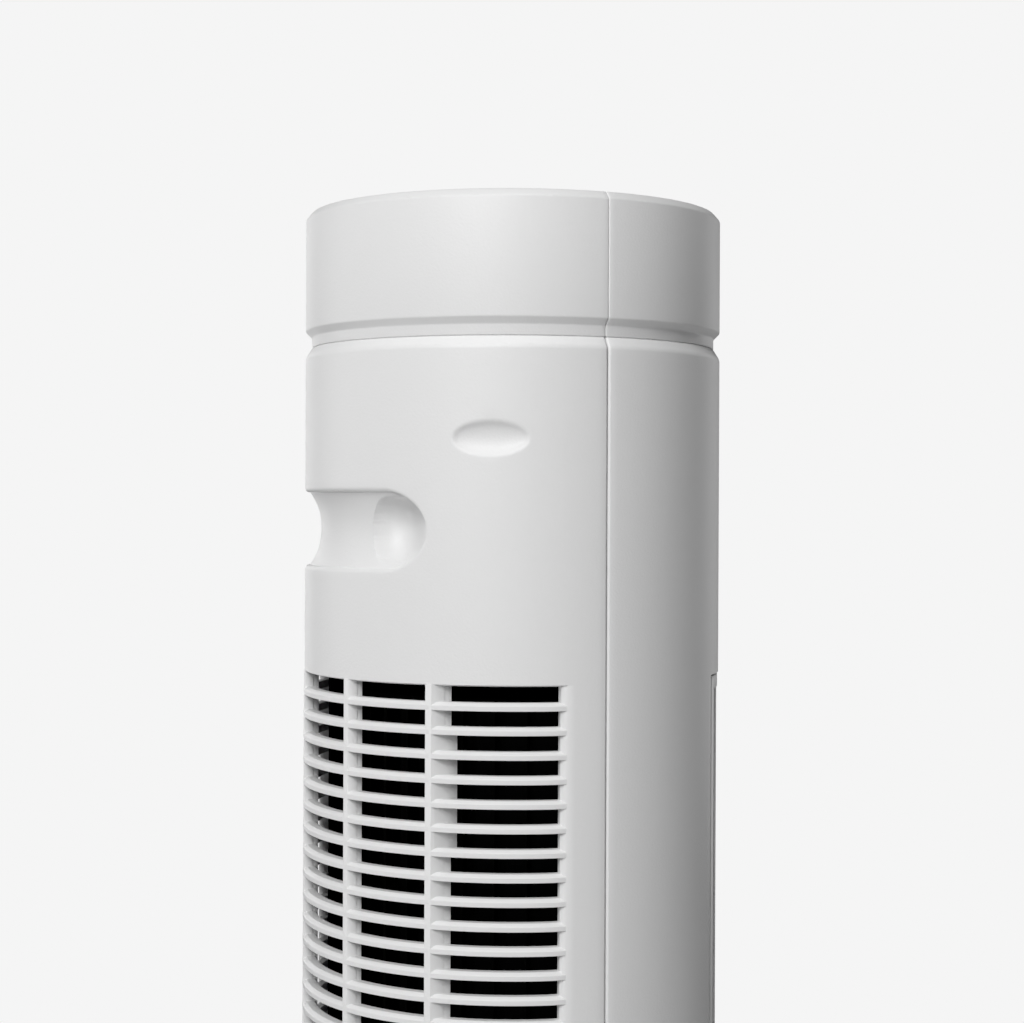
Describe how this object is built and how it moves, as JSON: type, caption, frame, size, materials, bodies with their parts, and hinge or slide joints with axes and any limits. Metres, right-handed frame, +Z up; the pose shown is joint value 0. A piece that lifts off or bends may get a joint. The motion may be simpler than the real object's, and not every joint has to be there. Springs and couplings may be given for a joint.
{
  "type": "tower fan",
  "caption": "White round tower fan on a round base, with slatted rear intake, upright-finned front outlet, hand recess and push-button head.",
  "frame": {"origin": "centre of the footprint, on the surface that the feet stand on", "axes": "+Z up along the column, +Y to the rear (the intake grille), -Y to the front (the outlet), +X to the right seen from the front"},
  "size_m": [0.3, 0.3, 0.92],
  "materials": {
    "shell_white": "fine moulded grain, white",
    "panel_white": "satin, light grey",
    "inner_grey": "moulded, unpainted",
    "impeller_black": "moulded, glass filled",
    "gear_ivory": "acetal",
    "rubber_black": "soft moulded rubber",
    "steel": "zinc plated",
    "iron": "raw casting",
    "alu": "machined",
    "bronze": "sintered",
    "board_green": "solder mask",
    "cap_black": "moulded case",
    "lens_smoke": "smoked, polished",
    "button_grey": "satin",
    "duct_black": "moulded, black",
    "plate_dark": "moulded, dark"
  },
  "bodies": {
    "base": {"base_cover": "shell_white", "base_plate": "plate_dark", "counterweight": "iron", "foot_pads": "rubber_black", "base_screws": "steel", "cord_gland": "rubber_black", "spindle": "inner_grey", "spindle_screws": "steel", "swing_gear": "gear_ivory", "glide_ring": "gear_ivory", "retaining_ring": "steel", "ring_screws": "steel"},
    "tower": {"turntable": "inner_grey", "turntable_screws": "steel", "swing_motor": "steel", "swing_motor_screws": "steel", "rear_shell": "shell_white", "rear_grille": "shell_white", "hand_recess": "shell_white", "front_shell": "shell_white", "front_grille": "shell_white", "duct_bottom_plate": "duct_black", "duct_top_plate": "duct_black", "scroll_wall": "duct_black", "cutoff_tongue": "duct_black", "duct_screws": "steel", "fan_motor": "steel", "motor_isolators": "rubber_black", "motor_screws": "steel", "power_board": "board_green", "run_capacitor": "cap_black", "bearing_mount": "rubber_black", "bearing_bush": "bronze", "head_floor": "inner_grey", "head_screws": "steel", "head_rear_shell": "shell_white", "head_front_shell": "shell_white", "top_panel": "panel_white", "display_lens": "lens_smoke", "display_board": "board_green", "infrared_receiver": "cap_black", "control_board": "board_green", "board_screws": "steel", "tact_switches": "steel"},
    "impeller": {"impeller": "impeller_black", "motor_shaft": "steel", "motor_rotor": "iron", "drive_hub": "alu", "set_screw": "steel", "stub_shaft": "steel"},
    "pinion": {"swing_pinion": "gear_ivory", "swing_shaft": "steel"},
    "power_button": {"power_button": "button_grey"},
    "speed_button": {"speed_button": "button_grey"},
    "timer_button": {"timer_button": "button_grey"},
    "swing_button": {"swing_button": "button_grey"},
    "mode_button": {"mode_button": "button_grey"}
  },
  "joints": [
    {"name": "swing", "type": "hinge", "parent": "base", "child": "tower", "pos_m": [0, 0, 0.05], "axis": [0, 0, 1], "range_deg": [-40, 40]},
    {"name": "pinion_turn", "type": "hinge", "parent": "tower", "child": "pinion", "pos_m": [0, -0.045, 0.046], "axis": [0, 0, 1], "range_deg": [-165, 165]},
    {"name": "impeller_spin", "type": "hinge", "parent": "tower", "child": "impeller", "pos_m": [0, 0, 0.4], "axis": [0, 0, 1], "continuous": true},
    {"name": "power_press", "type": "slide", "parent": "tower", "child": "power_button", "axis": [0, 0, -1], "range_m": [0, 0.0008], "stiffness_N_per_m": 400, "springref_m": -0.002},
    {"name": "speed_press", "type": "slide", "parent": "tower", "child": "speed_button", "axis": [0, 0, -1], "range_m": [0, 0.0008], "stiffness_N_per_m": 400, "springref_m": -0.002},
    {"name": "timer_press", "type": "slide", "parent": "tower", "child": "timer_button", "axis": [0, 0, -1], "range_m": [0, 0.0008], "stiffness_N_per_m": 400, "springref_m": -0.002},
    {"name": "swing_press", "type": "slide", "parent": "tower", "child": "swing_button", "axis": [0, 0, -1], "range_m": [0, 0.0008], "stiffness_N_per_m": 400, "springref_m": -0.002},
    {"name": "mode_press", "type": "slide", "parent": "tower", "child": "mode_button", "axis": [0, 0, -1], "range_m": [0, 0.0008], "stiffness_N_per_m": 400, "springref_m": -0.002}
  ],
  "couplings": [
    {"joint": "pinion_turn", "follows": "swing", "ratio": 4}
  ]
}
